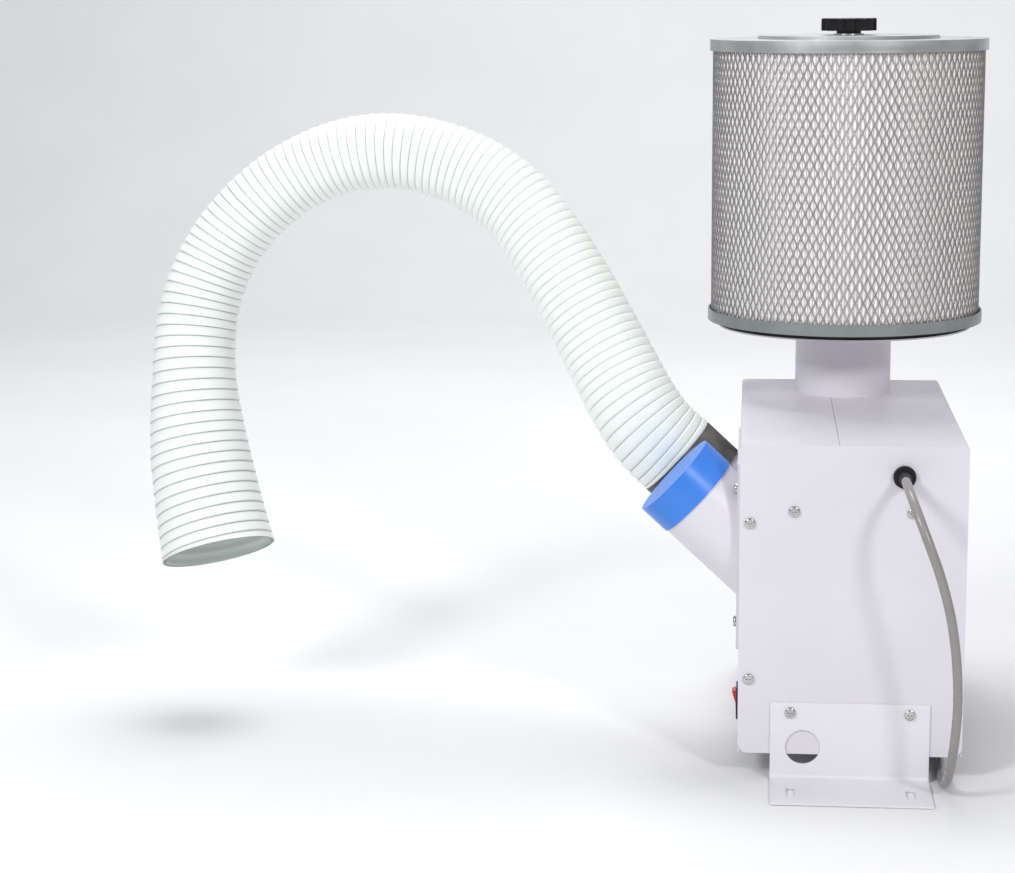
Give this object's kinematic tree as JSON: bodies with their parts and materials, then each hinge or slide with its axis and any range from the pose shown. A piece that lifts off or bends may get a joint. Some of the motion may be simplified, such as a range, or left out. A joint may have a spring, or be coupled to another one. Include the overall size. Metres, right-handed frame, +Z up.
{
  "type": "solder fume extractor",
  "caption": "Bench fume extractor: sheet-metal blower box on slotted brackets, clamped round filter canister on top and a self-supporting ribbed hose on a slanted inlet.",
  "frame": {"origin": "on the bench surface, under the middle of the box between the two brackets", "axes": "+Z up, -Y towards the side panel with the power cord, -X towards the inlets and the hose"},
  "size_m": [0.8837, 0.7197, 0.726],
  "materials": {
    "powder_white": "fine textured powder coat",
    "bracket_white": "fine textured powder coat",
    "galvanised": "zinc-coated sheet with fine rolling marks",
    "mesh_steel": "expanded metal, grey",
    "media_paper": "pleated filter paper",
    "zinc": "bright zinc",
    "ground_steel": "ground",
    "core_steel": "laminated",
    "gasket_black": "closed-cell foam rubber",
    "knob_black": "glossy phenolic",
    "black_plastic": "fine moulded grain",
    "impeller_plastic": "moulded",
    "rocker_red": "glossy",
    "vinyl_blue": "soft vinyl",
    "cuff_grey": "matt",
    "hose_white": "ribbed, slightly translucent",
    "cord_grey": "satin vinyl",
    "pin_brass": "bright"
  },
  "bodies": {
    "housing": {"left_shell": "powder_white", "right_shell": "powder_white", "side_panel_near": "powder_white", "side_panel_far": "powder_white", "bottom_pan": "powder_white", "panel_stiffeners": "galvanised", "bench_bracket_near": "bracket_white", "bench_bracket_far": "bracket_white", "side_panel_screws": "zinc", "bracket_screws": "zinc", "bracket_nuts": "zinc", "inlet_plate": "powder_white", "inlet_plate_screws": "zinc", "inlet_tube_near": "powder_white", "inlet_tube_far": "powder_white", "hose_cuff": "cuff_grey", "exhaust_tube": "powder_white", "filter_seat_flange": "powder_white", "rod_spider": "galvanised", "tie_rod": "zinc", "rod_nuts": "zinc", "blower_scroll": "galvanised", "motor_stator": "core_steel", "motor_front_bell": "galvanised", "motor_can": "galvanised", "motor_bearings": "ground_steel", "motor_screws": "zinc", "run_capacitor": "black_plastic", "capacitor_clip": "galvanised", "terminal_block": "black_plastic", "switch_bezel": "black_plastic", "cord_bushing": "black_plastic", "power_cord": "cord_grey", "cord_coil": "cord_grey", "plug_lead": "cord_grey", "power_plug": "cord_grey", "plug_pins": "pin_brass"},
    "fan": {"impeller": "impeller_plastic", "motor_shaft": "ground_steel", "motor_rotor": "core_steel"},
    "rocker": {"switch_rocker": "rocker_red"},
    "cap": {"inlet_cap": "vinyl_blue"},
    "canister": {"filter_gasket": "gasket_black", "filter_bottom_cap": "galvanised", "filter_top_cap": "galvanised", "filter_outer_mesh": "mesh_steel", "filter_inner_liner": "mesh_steel", "filter_media": "media_paper"},
    "washer": {"knob_washer": "zinc"},
    "knob": {"filter_knob": "knob_black"},
    "hose_1": {"hose_collar": "cuff_grey", "hose_section_1": "hose_white", "hose_flex_1": "hose_white"},
    "hose_2": {"hose_section_2": "hose_white", "hose_flex_2": "hose_white"},
    "hose_3": {"hose_section_3": "hose_white", "hose_flex_3": "hose_white"},
    "hose_4": {"hose_section_4": "hose_white"}
  },
  "joints": [
    {"name": "fan_spin", "type": "hinge", "parent": "housing", "child": "fan", "pos_m": [0, 0.04, 0.155], "axis": [1, 0, 0], "continuous": true},
    {"name": "switch_tilt", "type": "hinge", "parent": "housing", "child": "rocker", "pos_m": [-0.107, -0.13, 0.057], "axis": [0, 1, 0], "range_deg": [0, 20]},
    {"name": "cap_pull", "type": "slide", "parent": "housing", "child": "cap", "axis": [-0.7314, 0, 0.682], "range_m": [0, 0.05]},
    {"name": "canister_lift", "type": "slide", "parent": "housing", "child": "canister", "axis": [0, 0, 1], "range_m": [0, 0.33]},
    {"name": "washer_rise", "type": "slide", "parent": "canister", "child": "washer", "axis": [0, 0, 1], "range_m": [0, 0.0126]},
    {"name": "knob_turn", "type": "hinge", "parent": "washer", "child": "knob", "pos_m": [0, 0.13, 0.716], "axis": [0, 0, 1], "range_deg": [0, 3600]},
    {"name": "hose_swivel", "type": "hinge", "parent": "housing", "child": "hose_1", "pos_m": [-0.17267, -0.043, 0.28877], "axis": [-0.7314, 0, 0.682], "range_deg": [-60, 60]},
    {"name": "hose_bend_1", "type": "hinge", "parent": "hose_1", "child": "hose_2", "pos_m": [-0.26214, -0.00196, 0.41774], "axis": [0.1714, 0.9389, -0.2984], "range_deg": [-18, 18], "deforming": ["hose_flex_1"]},
    {"name": "hose_bend_2", "type": "hinge", "parent": "hose_2", "child": "hose_3", "pos_m": [-0.4924, 0.07846, 0.59043], "axis": [0.0714, 0.9974, 0.0025], "range_deg": [-18, 18], "deforming": ["hose_flex_2"]},
    {"name": "hose_bend_3", "type": "hinge", "parent": "hose_3", "child": "hose_4", "pos_m": [-0.69341, 0.05523, 0.38462], "axis": [-0.0088, 0.9683, -0.2498], "range_deg": [-18, 18], "deforming": ["hose_flex_3"]}
  ],
  "couplings": [
    {"joint": "washer_rise", "follows": "knob_turn", "m_per_rad": 0.00019894}
  ]
}
